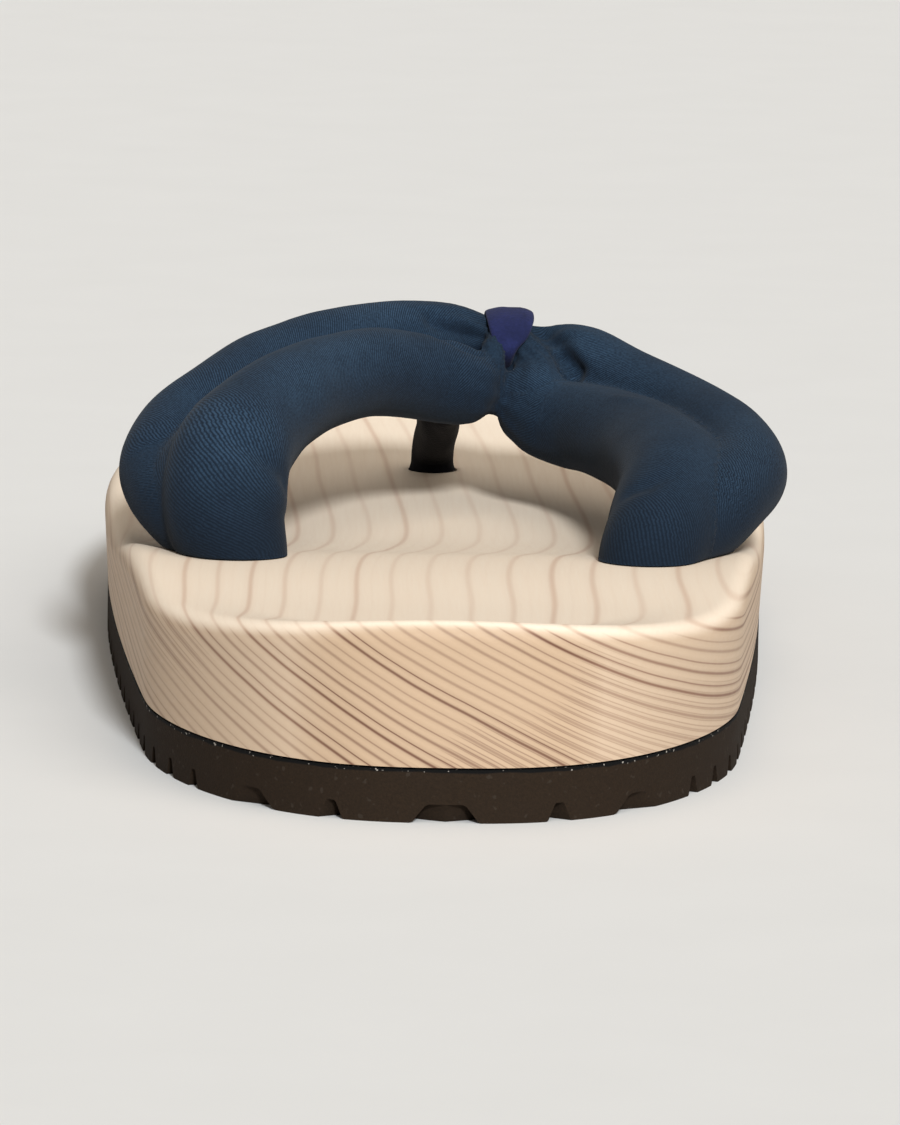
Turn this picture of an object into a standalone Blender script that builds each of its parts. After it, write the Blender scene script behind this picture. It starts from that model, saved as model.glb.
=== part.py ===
"""A geta sandal: a carved wooden base on a rubber outsole, with a padded twin-roll strap.

The frame is metres with +Z up. +Y runs from heel to toe and +X to the right of someone who
stands behind the heel. The origin is on the ground, under the middle of the base.
"""

import math

import bmesh
import bpy
from mathutils import Vector

# The base's plan: a tapered strip whose two ends are rounded as Lame curves
LENGTH = 0.260
WIDTH = 0.1092  # at the rim
WIDEST_AT = 0.175  # from the back of the heel
HEEL_TAPER = 0.27  # share of the width that is lost from the widest place to the heel
HEEL_ROUND = 0.054  # length of the rounded heel
TOE_ROUND = 0.085
ROUND_ACROSS = 2.6  # exponents of the Lame curves
HEEL_ALONG = 2.0
TOE_ALONG = 2.2
WALL_LEAN = 0.0006  # of the walls, inwards from the rim to the ground

# The base's height
BASE_THICKNESS = 0.0217  # of the wood at the heel's rim
RIM_RISE = 0.0035  # of the rim behind the heel over its seat
RIM_REACH = 0.040  # from the middle line to where that rim has died away
RIM_STARTS = 0.45  # where the rim starts to rise, as outline_share() counts it
EDGE_ROUND = 0.0032
TOE_SPRING = 0.007
TOE_SPRING_LENGTH = 0.060

# Shares of LENGTH from the heel, of BASE_THICKNESS at the seat, and of RIM_RISE behind the heel
# and along the sides
FOOTBED = (
    # along, thickness, heel, sides
    (0.00, 0.86, 1.00, 0.00),
    (0.15, 0.81, 1.00, 0.00),
    (0.27, 0.81, 0.60, 0.15),
    (0.35, 0.77, 0.30, 0.25),
    (0.42, 0.67, 0.00, 0.30),
    (0.50, 0.59, 0.00, 0.30),
    (0.58, 0.58, 0.00, 0.30),
    (0.73, 0.64, 0.00, 0.30),
    (0.88, 0.65, 0.00, 0.30),
    (1.00, 0.56, 0.00, 0.30),
)

# The rubber outsole
SOLE_THICKNESS = 0.008
GLUE_LINE = 0.0003
TREAD_DEPTH = 0.0028
TREAD_PITCH = 0.0104
GROOVE_MOUTH = 0.0038
GROOVE_FLOOR = 0.0010
ZIGZAG_STEP = 0.012  # across the sole, from one corner of a groove to the next
ZIGZAG_REACH = 0.006  # along the sole

# The holes that hold the strap and the toe thong
REAR_HOLE_AT = 0.088  # from the back of the heel
REAR_HOLE_OUT = 0.298 * WIDTH  # from the middle line
REAR_HOLE_RADIUS = 0.0055
FRONT_HOLE_AT = 0.197
FRONT_HOLE_RADIUS = 0.0045
RECESS_RADIUS = 0.0095
RECESS_DEPTH = 0.0075
ACCESS_CLEARANCE = 0.0005

# The padded strap
ROLL_RADIUS = 0.0075
STRAP_RISE = 0.030  # of its top over the seat at the rear holes
ROLLS_MEET = 0.94  # the rolls' centres stay within this share of their two radii
CORD_RADIUS = 0.0042
SEAT_GAP = 0.0004

# The near roll lies towards the heel and the far roll towards the toe. Shares of REAR_HOLE_OUT
# across, of the way from the rear holes to the front one, of STRAP_RISE and of ROLL_RADIUS.
STRAP = (
    # near: across, along, up, radius    far: across, along, up, radius
    (-0.98, -0.01, 0.00, 1.03, -1.12, 0.03, 0.05, 0.80),
    (-1.03, 0.00, 0.17, 1.25, -1.27, 0.07, 0.20, 0.90),
    (-1.04, 0.02, 0.35, 1.31, -1.35, 0.12, 0.30, 0.95),
    (-1.01, 0.06, 0.49, 1.26, -1.36, 0.16, 0.40, 0.96),
    (-0.92, 0.14, 0.59, 1.15, -1.27, 0.24, 0.50, 0.96),
    (-0.79, 0.23, 0.67, 1.06, -1.10, 0.32, 0.61, 0.95),
    (-0.61, 0.34, 0.72, 1.00, -0.90, 0.43, 0.71, 0.93),
    (-0.38, 0.45, 0.73, 0.96, -0.61, 0.54, 0.78, 0.91),
    (-0.14, 0.55, 0.67, 0.94, -0.30, 0.64, 0.81, 0.87),
    (0.10, 0.62, 0.56, 0.89, 0.05, 0.70, 0.80, 0.80),
    (0.27, 0.67, 0.57, 0.54, 0.26, 0.72, 0.74, 0.58),
    (0.42, 0.67, 0.56, 0.54, 0.46, 0.72, 0.73, 0.58),
    (0.50, 0.64, 0.41, 0.86, 0.60, 0.71, 0.69, 0.77),
    (0.62, 0.60, 0.38, 0.93, 0.76, 0.69, 0.66, 0.85),
    (0.80, 0.54, 0.39, 0.97, 0.97, 0.63, 0.57, 0.88),
    (0.99, 0.43, 0.37, 1.06, 1.23, 0.53, 0.48, 0.90),
    (1.11, 0.29, 0.33, 1.17, 1.43, 0.38, 0.41, 0.91),
    (1.14, 0.16, 0.25, 1.24, 1.50, 0.25, 0.33, 0.90),
    (1.08, 0.06, 0.13, 1.22, 1.38, 0.13, 0.22, 0.88),
    (1.00, -0.01, 0.00, 1.05, 1.15, 0.03, 0.03, 0.82),
)
PINCH_ROW = 10.5  # the middle of the pinch, counted in rows of STRAP

# The toe thong
THONG_GAP = 0.0005
BAND_THICKNESS = 0.0020
BAND_WIDTH_TOP = 0.0066
BAND_WIDTH_NEAR = 0.0034
STEM_RADIUS = 0.0037
STEM_BEND = 0.0035  # the stem turns upright this far over the footbed
STEM_KNEE_AT = 0.38  # share of the way to the foot where the stem turns straight ahead
STEM_KNEE_OUT = 0.0012  # from the middle line

# The knots under the base
KNOT_RADIUS = 0.0080
KNOT_HEIGHT = 0.0062
KNOT_GAP = 0.0003

OUTLINE_POINTS = 80
EDGE_STEPS = 3
BED_STEPS = 8
UNDERSIDE_STEPS = 5
STRAP_STEPS = 2  # stations from one row of STRAP to the next
ROLL_POINTS = 13
HOLE_SIDES = 24
BAND_STATIONS = 28
BAND_POINTS = 8
STEM_POINTS = 14

BACK = -LENGTH / 2
WIDEST_Y = BACK + WIDEST_AT
FRONT_HOLE = Vector((0, BACK + FRONT_HOLE_AT, 0))
REAR_HOLES = {
    "left": Vector((-REAR_HOLE_OUT, BACK + REAR_HOLE_AT, 0)),
    "right": Vector((REAR_HOLE_OUT, BACK + REAR_HOLE_AT, 0)),
}
BASE_BOTTOM = SOLE_THICKNESS + GLUE_LINE


def smooth(table, at, column):
    """A table's column at a place in its first column, on a smooth curve through its rows."""
    places = [row[0] for row in table]
    values = [row[column] for row in table]
    last = len(table) - 1
    i = max(k for k in range(last) if k == 0 or places[k] <= at)

    def slope(k):
        low, high = max(k - 1, 0), min(k + 1, last)
        return (values[high] - values[low]) / (places[high] - places[low])

    span = places[i + 1] - places[i]
    u = min(max((at - places[i]) / span, 0), 1)
    return (
        values[i] * (2 * u**3 - 3 * u**2 + 1)
        + values[i + 1] * (3 * u**2 - 2 * u**3)
        + slope(i) * span * (u**3 - 2 * u**2 + u)
        + slope(i + 1) * span * (u**3 - u**2)
    )


def smooth_step(u):
    u = min(max(u, 0), 1)
    return u * u * (3 - 2 * u)


def end_share(y):
    """How much of the outline's Lame sum the rounded ends take: 0 between them and 1 at each tip."""
    heel = max(1 - (y - BACK) / HEEL_ROUND, 0) ** HEEL_ALONG
    toe = max(1 - (-BACK - y) / TOE_ROUND, 0) ** TOE_ALONG
    return min(heel + toe, 1)


def strip_half_width(y):
    """Half the base's width before its ends are rounded."""
    behind = max(WIDEST_Y - y, 0) / WIDEST_AT
    return WIDTH / 2 * (1 - HEEL_TAPER * behind**1.5)


def outline_share(x, y):
    """0 on the middle line between the rounded ends, and 1 on the base's outline."""
    return (abs(x) / strip_half_width(y)) ** ROUND_ACROSS + end_share(y)


def toe_lift(y):
    past = y - (LENGTH / 2 - TOE_SPRING_LENGTH)
    return TOE_SPRING * (max(past, 0) / TOE_SPRING_LENGTH) ** 2


def underside(x, y):
    return BASE_BOTTOM + toe_lift(y)


def footbed(x, y):
    """The height of the base's carved top."""
    along = (y - BACK) / LENGTH
    rim = smooth_step((outline_share(x, y) - RIM_STARTS) / (1 - RIM_STARTS))
    heel = max(1 - (x / RIM_REACH) ** 2, 0) ** 1.5
    rim *= heel * smooth(FOOTBED, along, 2) + smooth(FOOTBED, along, 3)
    return underside(x, y) + BASE_THICKNESS * smooth(FOOTBED, along, 1) + RIM_RISE * rim


def outline():
    """Points of the plan outline at even steps, from the back of the heel and round by the right."""
    fine = 1200
    half = []
    for i in range(fine + 1):
        y = BACK * math.cos(math.pi * i / fine)
        half.append(Vector((strip_half_width(y) * (1 - end_share(y)) ** (1 / ROUND_ACROSS), y)))
    walked = [0.0]
    for a, b in zip(half, half[1:]):
        walked.append(walked[-1] + (b - a).length)
    steps = OUTLINE_POINTS // 2
    right, k = [], 0
    for i in range(steps + 1):
        goal = walked[-1] * i / steps
        while k < fine - 1 and walked[k + 1] < goal:
            k += 1
        share = (goal - walked[k]) / (walked[k + 1] - walked[k])
        right.append(half[k].lerp(half[k + 1], share))
    return right + [Vector((-p.x, p.y)) for p in reversed(right[1:-1])]


def middle_of(point):
    """The point of the base's middle line that the outline's point shrinks towards."""
    inset = 0.8 * WIDTH / 2
    return Vector((0, min(max(point.y, BACK + inset), -BACK - inset)))


def ring_inside(points, inset, share, height):
    """The outline moved inwards by inset, then shrunk by share towards the middle line."""
    ring = []
    for p in points:
        centre = middle_of(p)
        start = p + (centre - p).normalized() * inset
        q = centre + (start - centre) * share
        ring.append(Vector((q.x, q.y, height(q.x, q.y))))
    return ring


def material(name, colour, roughness):
    made = bpy.data.materials.new(name)
    made.use_nodes = True
    shader = made.node_tree.nodes["Principled BSDF"]
    shader.inputs["Base Color"].default_value = (*colour, 1)
    shader.inputs["Roughness"].default_value = roughness
    return made


def mesh_object(name, points, faces, look=None, merge=0.0):
    mesh = bpy.data.meshes.new(name)
    mesh.from_pydata([tuple(p) for p in points], [], faces)
    build = bmesh.new()
    build.from_mesh(mesh)
    if merge:
        bmesh.ops.remove_doubles(build, verts=build.verts, dist=merge)
    bmesh.ops.recalc_face_normals(build, faces=build.faces)
    build.to_mesh(mesh)
    build.free()
    mesh.shade_smooth()
    mesh.set_sharp_from_angle(angle=math.radians(40))
    made = bpy.data.objects.new(name, mesh)
    bpy.context.scene.collection.objects.link(made)
    if look:
        mesh.materials.append(look)
    return made


def skin(rings, closed_path=False, caps=True):
    """Points and faces of the surface through rings of equally many points."""
    count = len(rings[0])
    points = [p for ring in rings for p in ring]
    faces = []
    pairs = len(rings) if closed_path else len(rings) - 1
    for i in range(pairs):
        low, high = i * count, (i + 1) % len(rings) * count
        for k in range(count):
            after = (k + 1) % count
            faces.append((low + k, low + after, high + after, high + k))
    if caps and not closed_path:
        faces.append(tuple(reversed(range(count))))
        faces.append(tuple(range((len(rings) - 1) * count, len(rings) * count)))
    return points, faces


def turned(name, profile, centre, look=None, closed_profile=False):
    """A solid turned about a vertical axis from (radius, height) pairs."""
    rings = []
    for radius, height in profile:
        ring = []
        for k in range(HOLE_SIDES):
            turn = 2 * math.pi * (k + 0.5) / HOLE_SIDES
            ring.append(
                Vector(
                    (
                        centre.x + radius * math.cos(turn),
                        centre.y + radius * math.sin(turn),
                        height,
                    )
                )
            )
        rings.append(ring)
    return mesh_object(name, *skin(rings, closed_path=closed_profile), look)


def boolean(target, operation, tool):
    cut = target.modifiers.new(tool.name, "BOOLEAN")
    cut.operation = operation
    cut.object = tool
    tool.hide_render = True
    tool.display_type = "WIRE"


def hole_cutter(name, centre, radius):
    ceiling = underside(*centre.xy) + RECESS_DEPTH
    profile = (
        (RECESS_RADIUS, -TREAD_DEPTH),
        (RECESS_RADIUS, ceiling),
        (radius, ceiling),
        (radius, footbed(*centre.xy) + EDGE_ROUND),
    )
    return turned(name, profile, centre)


def make_base(look):
    """The wooden base, carved on top, with stepped holes for the strap and the thong."""
    points = outline()
    rings = [
        ring_inside(points, WALL_LEAN, k / UNDERSIDE_STEPS, underside)
        for k in range(UNDERSIDE_STEPS + 1)
    ]
    for k in range(EDGE_STEPS + 1):
        turn = math.pi / 2 * k / EDGE_STEPS
        drop = EDGE_ROUND * (1 - math.sin(turn))
        inset = EDGE_ROUND * (1 - math.cos(turn))
        rings.append(
            ring_inside(points, inset, 1, lambda x, y: footbed(x, y) - drop)
        )
    for k in range(BED_STEPS - 1, -1, -1):
        share = (k / BED_STEPS) ** 0.8
        rings.append(ring_inside(points, EDGE_ROUND, share, footbed))
    base = mesh_object("base", *skin(rings, caps=False), look, merge=1e-6)
    for side, centre in REAR_HOLES.items():
        boolean(base, "DIFFERENCE", hole_cutter(f"rear_hole_{side}", centre, REAR_HOLE_RADIUS))
    boolean(base, "DIFFERENCE", hole_cutter("front_hole", FRONT_HOLE, FRONT_HOLE_RADIUS))
    return base


def tread_block():
    """A slab over the sole's whole plan with zigzag grooves across its underside."""
    columns = math.ceil(WIDTH / 2 / ZIGZAG_STEP) + 1
    grooves = math.ceil(LENGTH / 2 / TREAD_PITCH) + 1
    lines = []
    for k in range(-grooves, grooves):
        middle = (k + 0.5) * TREAD_PITCH
        lines.append((middle - GROOVE_MOUTH / 2, 0))
        lines.append((middle - GROOVE_FLOOR / 2, TREAD_DEPTH))
        lines.append((middle + GROOVE_FLOOR / 2, TREAD_DEPTH))
        lines.append((middle + GROOVE_MOUTH / 2, 0))
    top_rows = list(range(0, len(lines) - 1, 6)) + [len(lines) - 1]
    points, faces = [], []
    width = 2 * columns + 1
    for line, height in lines:
        for i in range(-columns, columns + 1):
            y = line + (ZIGZAG_REACH if i % 2 else 0)
            points.append(Vector((i * ZIGZAG_STEP, y, height + toe_lift(y))))
    top_start = len(points)
    for row in top_rows:
        for i in range(-columns, columns + 1):
            y = lines[row][0] + (ZIGZAG_REACH if i % 2 else 0)
            points.append(Vector((i * ZIGZAG_STEP, y, SOLE_THICKNESS + toe_lift(y))))
    for j in range(len(lines) - 1):
        for i in range(width - 1):
            a = j * width + i
            faces.append((a, a + width, a + width + 1, a + 1))
    for j in range(len(top_rows) - 1):
        for i in range(width - 1):
            a = top_start + j * width + i
            faces.append((a, a + 1, a + width + 1, a + width))
    last_line, last_top = (len(lines) - 1) * width, top_start + (len(top_rows) - 1) * width
    for i in range(width - 1):
        faces.append((i, i + 1, top_start + i + 1, top_start + i))
        faces.append((last_line + i, last_top + i, last_top + i + 1, last_line + i + 1))
    for i in (0, width - 1):
        below = [j * width + i for j in range(len(lines))]
        above = [top_start + j * width + i for j in range(len(top_rows))]
        faces.append(tuple(below + above[::-1]))
    return points, faces


def make_outsole(look):
    """The rubber outsole: the base's outline cut from a slab with a zigzag tread."""
    sole = mesh_object("outsole", *tread_block(), look)
    reach = 2 * SOLE_THICKNESS + TOE_SPRING
    rings = [ring_inside(outline(), WALL_LEAN, 1, lambda x, y: z) for z in (-reach, reach)]
    boolean(sole, "INTERSECT", mesh_object("sole_outline", *skin(rings)))
    for name, centre in {**REAR_HOLES, "front": FRONT_HOLE}.items():
        radius = RECESS_RADIUS + ACCESS_CLEARANCE
        opening = turned(f"access_{name}", ((radius, -reach), (radius, reach)), centre)
        boolean(sole, "DIFFERENCE", opening)
    return sole


def strap_place(across, along, up):
    span = FRONT_HOLE_AT - REAR_HOLE_AT
    x = across * REAR_HOLE_OUT
    y = BACK + REAR_HOLE_AT + along * span
    seat = footbed(0, BACK + REAR_HOLE_AT)
    return Vector((x, y, seat + up * STRAP_RISE))


def strap_rolls(row):
    """The near roll's centre and radius and the far roll's, at a row number that may be a fraction."""
    table = [(i, *values) for i, values in enumerate(STRAP)]
    v = [smooth(table, row, column) for column in range(1, 9)]
    near, near_radius = strap_place(*v[0:3]), v[3] * ROLL_RADIUS
    far, far_radius = strap_place(*v[4:7]), v[7] * ROLL_RADIUS
    across = far - near
    apart = min(across.length, ROLLS_MEET * (near_radius + far_radius))
    return near, near_radius, near + across.normalized() * apart, far_radius


def strap_section(row):
    """The section through both rolls: two circles that meet in a crease above and below."""
    near, near_radius, far, far_radius = strap_rolls(row)
    last = len(STRAP) - 1
    before, after = strap_rolls(max(row - 0.5, 0)), strap_rolls(min(row + 0.5, last))
    heading = (after[0] + after[2] - before[0] - before[2]).normalized()
    if row in (0, last):
        heading = Vector((0, 0, 1 if row == 0 else -1))
    across = far - near
    apart = across.length
    across.normalize()
    above = heading.cross(across).normalized()
    near_turn = math.acos((apart**2 + near_radius**2 - far_radius**2) / (2 * apart * near_radius))
    far_turn = math.acos((apart**2 + far_radius**2 - near_radius**2) / (2 * apart * far_radius))
    ring = []
    for k in range(ROLL_POINTS):
        turn = near_turn + (2 * math.pi - 2 * near_turn) * k / (ROLL_POINTS - 1)
        ring.append(near + near_radius * (across * math.cos(turn) + above * math.sin(turn)))
    for k in range(1, ROLL_POINTS):
        turn = math.pi + far_turn + (2 * math.pi - 2 * far_turn) * k / ROLL_POINTS
        ring.append(far + far_radius * (across * math.cos(turn) + above * math.sin(turn)))
    for p in ring:
        floor = footbed(p.x, p.y) + SEAT_GAP
        p.z = floor if row in (0, last) else max(p.z, floor)
    return ring


def cord_end(centre, section):
    """Rings from the strap's foot down through its hole, one point for each of the section's."""
    middle = sum(section, Vector()) / len(section)
    ceiling = underside(*centre.xy) + RECESS_DEPTH
    heights = (
        footbed(*centre.xy) + SEAT_GAP,
        ceiling,
        ceiling - KNOT_GAP - KNOT_HEIGHT,
    )
    rings = []
    for height in heights:
        ring = []
        for p in section:
            turn = math.atan2(p.y - middle.y, p.x - middle.x)
            ring.append(
                Vector(
                    (
                        centre.x + CORD_RADIUS * math.cos(turn),
                        centre.y + CORD_RADIUS * math.sin(turn),
                        height,
                    )
                )
            )
        rings.append(ring)
    return rings


def make_strap(look):
    """The padded strap: two rolls side by side from one rear hole to the other, pinched between."""
    count = (len(STRAP) - 1) * STRAP_STEPS
    sections = [strap_section(i / STRAP_STEPS) for i in range(count + 1)]
    left = cord_end(REAR_HOLES["left"], sections[0])
    right = cord_end(REAR_HOLES["right"], sections[-1])
    return mesh_object("strap", *skin(left[::-1] + sections + right), look)


def band_frame():
    """The pinch's two centres, its heading and the direction up and back from the thong's stem."""
    near, near_radius, far, far_radius = strap_rolls(PINCH_ROW)
    across = (far - near).normalized()
    heading = Vector((1, 0, 0))
    above = heading.cross(across).normalized()
    return near, far, max(near_radius, far_radius), across, above


def band_rings():
    """Rings of the band that goes round the strap's pinch, wide on top and narrow at the heel side."""
    near, far, pinch, across, above = band_frame()
    radius = pinch + THONG_GAP + BAND_THICKNESS / 2
    apart = (far - near).length
    round_length = 2 * apart + 2 * math.pi * radius
    rings = []
    for i in range(BAND_STATIONS):
        walked = round_length * i / BAND_STATIONS
        if walked < math.pi * radius:
            turn = walked / radius - math.pi / 2
            centre, out = far, across * math.cos(turn) + above * math.sin(turn)
        elif walked < math.pi * radius + apart:
            centre, out = far - across * (walked - math.pi * radius), above
        elif walked < 2 * math.pi * radius + apart:
            turn = (walked - apart) / radius - math.pi / 2
            centre, out = near, across * math.cos(turn) + above * math.sin(turn)
        else:
            centre, out = near + across * (walked - 2 * math.pi * radius - apart), -above
        wide = smooth_step((out.dot(across) + 1) / 2)
        width = BAND_WIDTH_NEAR + (BAND_WIDTH_TOP - BAND_WIDTH_NEAR) * wide
        ring = []
        for k in range(BAND_POINTS):
            turn = 2 * math.pi * k / BAND_POINTS
            ring.append(
                centre
                + out * (radius + BAND_THICKNESS / 2 * math.sin(turn))
                + Vector((width / 2 * math.cos(turn), 0, 0))
            )
        rings.append(ring)
    return rings


def stem_rings():
    """Rings of the thong's stem, from the band's front side down through the front hole."""
    near, far, pinch, across, above = band_frame()
    mouth = footbed(*FRONT_HOLE.xy)
    ceiling = underside(*FRONT_HOLE.xy) + RECESS_DEPTH
    start = (near + far) / 2 - above * (pinch + THONG_GAP + BAND_THICKNESS / 2)
    foot = FRONT_HOLE + Vector((0, 0, mouth + STEM_BEND))
    knee = start.lerp(foot, STEM_KNEE_AT)
    knee.x = STEM_KNEE_OUT
    path = [
        (start, 0.45),
        (start.lerp(knee, 0.5), 0.75),
        (knee, 0.92),
        (knee.lerp(foot, 0.5), 1.0),
        (knee.lerp(foot, 0.88), 1.0),
        (FRONT_HOLE + Vector((0, 0, mouth + STEM_BEND / 4)), 1.0),
        (FRONT_HOLE + Vector((0, 0, ceiling)), 1.0),
        (FRONT_HOLE + Vector((0, 0, ceiling - KNOT_GAP - KNOT_HEIGHT)), 1.0),
    ]
    rings = []
    for i, (centre, share) in enumerate(path):
        before, after = path[max(i - 1, 0)][0], path[min(i + 1, len(path) - 1)][0]
        heading = (after - before).normalized()
        side = heading.cross(Vector((0, 1, 0))).normalized()
        front = heading.cross(side).normalized()
        ring = []
        for k in range(STEM_POINTS):
            turn = 2 * math.pi * k / STEM_POINTS
            flat = math.sin(turn) * share
            ring.append(centre + STEM_RADIUS * (side * math.cos(turn) * max(share, 0.7) + front * flat))
        rings.append(ring)
    return rings


def make_toe_thong(look):
    """The cloth thong: a band round the strap's pinch and a stem down to the front hole."""
    thong = mesh_object("toe_thong", *skin(band_rings(), closed_path=True), look)
    boolean(thong, "UNION", mesh_object("thong_stem", *skin(stem_rings())))
    return thong


def make_knot(name, centre, cord_radius, look):
    """A two-turn knot round the end of a cord, up in its recess under the base."""
    top = underside(*centre.xy) + RECESS_DEPTH - KNOT_GAP
    bore = cord_radius + KNOT_GAP
    turn_radius = KNOT_HEIGHT / 4
    profile = [(bore, top), (bore, top - KNOT_HEIGHT)]
    for low_turn in (True, False):
        middle = top - turn_radius * (3 if low_turn else 1)
        for degrees in (-70, -35, 0, 35, 70):
            angle = math.radians(degrees)
            profile.append(
                (
                    KNOT_RADIUS - turn_radius * (1 - math.cos(angle)),
                    middle + turn_radius * math.sin(angle),
                )
            )
    return turned(name, profile, centre, look, closed_profile=True)


def main():
    for old in list(bpy.data.objects):
        bpy.data.objects.remove(old, do_unlink=True)
    wood = material("pale_wood", (0.80, 0.62, 0.43), 0.55)
    rubber = material("brown_rubber", (0.045, 0.032, 0.026), 0.85)
    cloth = material("indigo_twill", (0.018, 0.040, 0.085), 0.90)
    thong_cloth = material("violet_navy_cloth", (0.022, 0.018, 0.075), 0.90)
    cord = material("dark_cord", (0.03, 0.03, 0.04), 0.90)
    make_base(wood)
    make_outsole(rubber)
    make_strap(cloth)
    make_toe_thong(thong_cloth)
    for side, centre in REAR_HOLES.items():
        make_knot(f"knot_{side}", centre, CORD_RADIUS, cord)
    make_knot("knot_front", FRONT_HOLE, STEM_RADIUS, cord)


main()
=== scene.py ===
"""The looks of a geta sandal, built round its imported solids.

Metres, +Z up. +Y runs from heel to toe and +X to the right of someone who stands behind the heel.
"""

import math

import bmesh
import bpy
import numpy as np
from mathutils import Matrix, Vector, noise


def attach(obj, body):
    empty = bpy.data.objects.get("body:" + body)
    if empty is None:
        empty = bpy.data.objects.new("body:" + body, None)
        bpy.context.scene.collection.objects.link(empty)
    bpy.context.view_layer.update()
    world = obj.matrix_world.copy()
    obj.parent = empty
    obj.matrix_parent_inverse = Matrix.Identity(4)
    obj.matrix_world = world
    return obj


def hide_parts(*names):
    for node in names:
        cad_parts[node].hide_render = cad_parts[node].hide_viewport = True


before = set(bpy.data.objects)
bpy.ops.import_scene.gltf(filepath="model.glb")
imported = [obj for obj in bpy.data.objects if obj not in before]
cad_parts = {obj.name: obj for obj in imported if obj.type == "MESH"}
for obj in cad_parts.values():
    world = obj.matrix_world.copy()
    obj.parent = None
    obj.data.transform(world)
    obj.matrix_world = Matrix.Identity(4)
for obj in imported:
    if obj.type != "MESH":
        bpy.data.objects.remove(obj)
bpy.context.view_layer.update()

# The base's plan and height
LENGTH = 0.260
WIDTH = 0.1092
WIDEST_AT = 0.175
HEEL_TAPER = 0.27
TAPER_POWER = 1.5
HEEL_ROUND = 0.054
TOE_ROUND = 0.085
ROUND_ACROSS = 2.6
HEEL_ALONG = 2.0
TOE_ALONG = 2.2
WALL_LEAN = 0.0006
BASE_THICKNESS = 0.0217
RIM_RISE = 0.0035
RIM_REACH = 0.040
RIM_STARTS = 0.45
RIM_POWER = 1.5
EDGE_ROUND = 0.0032
TOE_SPRING = 0.007
TOE_SPRING_LENGTH = 0.060
FOOTBED = (
    # along, thickness, heel, sides
    (0.00, 0.86, 1.00, 0.00),
    (0.15, 0.81, 1.00, 0.00),
    (0.27, 0.81, 0.60, 0.15),
    (0.35, 0.77, 0.30, 0.25),
    (0.42, 0.67, 0.00, 0.30),
    (0.50, 0.59, 0.00, 0.30),
    (0.58, 0.58, 0.00, 0.30),
    (0.73, 0.64, 0.00, 0.30),
    (0.88, 0.65, 0.00, 0.30),
    (1.00, 0.56, 0.00, 0.30),
)

# The rubber outsole
SOLE_THICKNESS = 0.008
GLUE_LINE = 0.0003
TREAD_DEPTH = 0.0028
TREAD_PITCH = 0.0104
GROOVE_MOUTH = 0.0038
GROOVE_FLOOR = 0.0010
ZIGZAG_STEP = 0.012
ZIGZAG_REACH = 0.006
ZIGZAG_SOFTNESS = 0.25
GROOVE_SIDE = (
    # shares of the side's width out from the groove's floor, and of the groove's depth
    (1.0, 0.00),
    (0.8, 0.10),
    (0.5, 0.50),
    (0.2, 0.90),
    (0.0, 1.00),
)

# The holes, the recesses and what passes through them
REAR_HOLE_AT = 0.088
REAR_HOLE_OUT = 0.298 * WIDTH
REAR_HOLE_RADIUS = 0.0055
FRONT_HOLE_AT = 0.197
FRONT_HOLE_RADIUS = 0.0045
FRONT_HOLE_SNUG = 0.0004  # the wood closes in on the stem's cloth by this much
REAR_HOLE_EDGE = 0.0004
FRONT_HOLE_EDGE = 0.00015
RECESS_RADIUS = 0.0095
RECESS_DEPTH = 0.0075
ACCESS_CLEARANCE = 0.0005
CORD_RADIUS = 0.0042
CORD_INTO_FOOT = 0.004
STEM_RADIUS = 0.0037
KNOT_RADIUS = 0.0080
KNOT_HEIGHT = 0.0062
KNOT_GAP = 0.0003
KNOT_TURNS = 2
KNOT_END = 0.3  # how thick the cord's ends are, as a share
CORD_LAY = 0.05

# The padded strap, in shares of REAR_HOLE_OUT across, of the way from the rear holes to the
# front one, of STRAP_RISE and of ROLL_RADIUS. The near roll lies towards the heel.
ROLL_RADIUS = 0.0075
STRAP_RISE = 0.030
SEAT_GAP = 0.0004
LEFT_NEAR = (
    # across, along, up, radius
    (-0.97, -0.01, -0.20, 0.98),
    (-0.98, -0.01, 0.00, 1.06),
    (-1.03, 0.00, 0.17, 1.25),
    (-1.04, 0.02, 0.35, 1.31),
    (-1.01, 0.06, 0.49, 1.26),
    (-0.92, 0.14, 0.59, 1.15),
    (-0.79, 0.23, 0.67, 1.06),
    (-0.61, 0.34, 0.72, 1.00),
    (-0.38, 0.45, 0.73, 0.96),
    (-0.14, 0.54, 0.67, 0.94),
    (0.02, 0.58, 0.62, 0.90),
    (0.11, 0.60, 0.59, 0.86),
)
LEFT_FAR = (
    (-1.12, 0.03, 0.07, 0.80),
    (-1.26, 0.07, 0.22, 0.90),
    (-1.33, 0.12, 0.31, 0.94),
    (-1.34, 0.16, 0.40, 0.95),
    (-1.27, 0.24, 0.50, 0.96),
    (-1.10, 0.32, 0.61, 0.95),
    (-0.90, 0.43, 0.71, 0.93),
    (-0.61, 0.54, 0.78, 0.91),
    (-0.30, 0.64, 0.81, 0.87),
    (0.03, 0.70, 0.80, 0.78),
    (0.27, 0.71, 0.76, 0.56),
    (0.42, 0.71, 0.74, 0.50),
)
RIGHT_NEAR = (
    (0.49, 0.62, 0.44, 0.80),
    (0.55, 0.61, 0.41, 0.89),
    (0.66, 0.59, 0.39, 0.94),
    (0.80, 0.54, 0.39, 0.97),
    (0.99, 0.43, 0.37, 1.06),
    (1.11, 0.29, 0.33, 1.17),
    (1.14, 0.16, 0.25, 1.24),
    (1.08, 0.06, 0.13, 1.22),
    (1.00, -0.01, 0.00, 1.08),
    (1.00, -0.01, -0.20, 1.00),
)
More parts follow.
